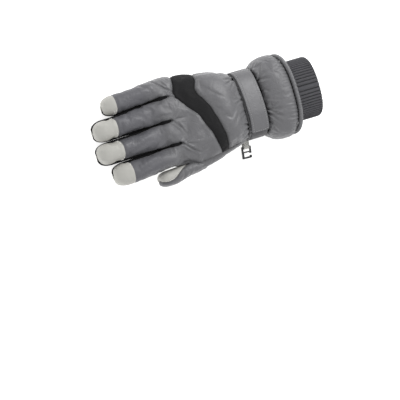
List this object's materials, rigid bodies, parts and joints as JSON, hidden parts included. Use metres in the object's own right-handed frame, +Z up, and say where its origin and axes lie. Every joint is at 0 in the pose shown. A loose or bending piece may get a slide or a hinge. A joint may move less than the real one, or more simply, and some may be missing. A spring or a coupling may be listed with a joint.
{
  "type": "ski glove",
  "caption": "Right-hand insulated ski glove, palm down: separate fingers, knuckle stripe, wrist strap, flared cuff with a knitted inner cuff, and a small clip.",
  "frame": {"origin": "centre of the footprint, on the surface the glove lies on", "axes": "+Y from the cuff to the fingertips, +X to the little-finger side, +Z up out of the back of the hand"},
  "size_m": [0.1312, 0.297, 0.06],
  "materials": {
    "shell_nylon": "satin woven nylon, mid grey",
    "stripe_softshell": "matt charcoal softshell",
    "pale_leather": "pale warm-grey synthetic leather",
    "side_knit": "black stretch knit",
    "grip_rubber": "matt black grip print",
    "padding": "off-white polyester wadding",
    "fleece": "dark brushed fleece",
    "rib_knit": "dark grey rib knit",
    "binding": "grey rolled binding",
    "elastic": "woven black elastic",
    "fastener_tape": "black hook and loop tape",
    "webbing": "pale ribbed webbing",
    "clip_plastic": "gloss black moulded plastic"
  },
  "bodies": {
    "hand": {"front_back_panel": "shell_nylon", "knuckle_stripe": "stripe_softshell", "rear_back_panel": "shell_nylon", "thumb_side_panel": "shell_nylon", "palm_panel": "pale_leather", "palm_patch": "grip_rubber", "back_insulation": "padding", "palm_insulation": "padding", "hand_lining": "fleece", "wrist_band": "shell_nylon", "wrist_elastic": "elastic", "strap_anchor": "shell_nylon", "loop_patch": "fastener_tape", "webbing_loop": "webbing"},
    "cuff": {"cuff_shell": "shell_nylon", "cuff_insulation": "padding", "cuff_lining": "fleece", "hem_binding": "binding", "knit_cuff": "rib_knit"},
    "strap": {"strap": "shell_nylon", "hook_patch": "fastener_tape"},
    "clip": {"clip_hook": "clip_plastic"},
    "thumb": {"thumb_back": "shell_nylon", "thumb_palm": "pale_leather", "thumb_insulation": "padding", "thumb_lining": "fleece"},
    "index_finger": {"index_back": "shell_nylon", "index_insulation": "padding", "index_lining": "fleece", "index_outward_wall": "side_knit", "index_palm": "pale_leather", "index_tip": "pale_leather"},
    "middle_finger": {"middle_back": "shell_nylon", "middle_insulation": "padding", "middle_lining": "fleece", "middle_outward_wall": "side_knit", "middle_palm": "pale_leather", "middle_thumbward_wall": "side_knit", "middle_tip": "pale_leather"},
    "ring_finger": {"ring_back": "shell_nylon", "ring_insulation": "padding", "ring_lining": "fleece", "ring_outward_wall": "side_knit", "ring_palm": "pale_leather", "ring_thumbward_wall": "side_knit", "ring_tip": "pale_leather"},
    "little_finger": {"little_back": "shell_nylon", "little_insulation": "padding", "little_lining": "fleece", "little_palm": "pale_leather", "little_thumbward_wall": "side_knit", "little_tip": "pale_leather"}
  },
  "joints": [
    {"name": "index_curl", "type": "hinge", "parent": "hand", "child": "index_finger", "pos_m": [-0.0356, 0.04505, 0.002], "axis": [-1, 0, 0], "range_deg": [0, 60], "stiffness_Nm_per_rad": 0.25},
    {"name": "middle_curl", "type": "hinge", "parent": "hand", "child": "middle_finger", "pos_m": [-0.0061, 0.05105, 0.002], "axis": [-1, 0, 0], "range_deg": [0, 60], "stiffness_Nm_per_rad": 0.25},
    {"name": "ring_curl", "type": "hinge", "parent": "hand", "child": "ring_finger", "pos_m": [0.0224, 0.05105, 0.002], "axis": [-1, 0, 0], "range_deg": [0, 60], "stiffness_Nm_per_rad": 0.25},
    {"name": "little_curl", "type": "hinge", "parent": "hand", "child": "little_finger", "pos_m": [0.0495, 0.04655, 0.002], "axis": [-1, 0, 0], "range_deg": [0, 60], "stiffness_Nm_per_rad": 0.25},
    {"name": "thumb_spread", "type": "hinge", "parent": "hand", "child": "thumb", "pos_m": [-0.0595, 0.02215, 0.0145], "axis": [0, 0, 1], "range_deg": [0, 30], "stiffness_Nm_per_rad": 0.25},
    {"name": "wrist_flex", "type": "hinge", "parent": "hand", "child": "cuff", "pos_m": [0.0031, -0.07645, 0.0015], "axis": [1, 0, 0], "range_deg": [0, 25], "stiffness_Nm_per_rad": 0.8},
    {"name": "strap_open", "type": "hinge", "parent": "hand", "child": "strap", "pos_m": [0.04712, -0.07645, 0.03073], "axis": [0, 1, 0], "range_deg": [0, 110]},
    {"name": "clip_swing", "type": "hinge", "parent": "hand", "child": "clip", "pos_m": [-0.04765, -0.05352, 0.00616], "axis": [0.0537, 0.9986, 0], "range_deg": [0, 40]}
  ]
}
